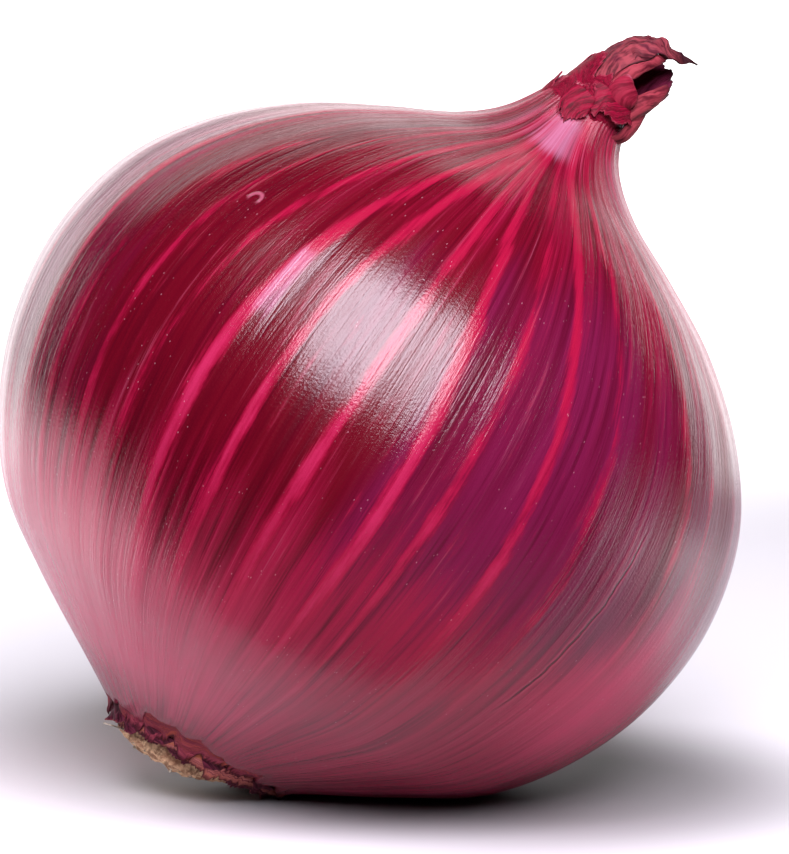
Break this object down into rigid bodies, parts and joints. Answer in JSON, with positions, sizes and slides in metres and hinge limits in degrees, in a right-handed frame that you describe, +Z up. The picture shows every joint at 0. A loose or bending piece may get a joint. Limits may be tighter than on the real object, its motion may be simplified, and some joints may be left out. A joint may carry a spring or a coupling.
{
  "type": "onion",
  "caption": "Red onion lying on its flank: a round ribbed bulb in glossy dry skin, with a torn papery neck and a corky root plate.",
  "frame": {"origin": "on the flat spot that the onion lies on, straight below the centre of its widest circle", "axes": "+Z up from the surface it lies on; +X towards the side that the neck leans to; the onion's own axis leans 32.7 degrees from +Z towards +X"},
  "size_m": [0.0782, 0.0798, 0.0795],
  "materials": {
    "glossy_skin": "glossy dry maroon skin with crimson streaks",
    "dry_neck": "dry papery red-brown scales",
    "torn_skin": "dry torn dark purple skin",
    "corky_plate": "dry tan corky root plate"
  },
  "bodies": {
    "root": {"bulb": "glossy_skin", "neck_scales": "dry_neck", "root_frill": "torn_skin", "root_plate": "corky_plate"}
  },
  "joints": []
}
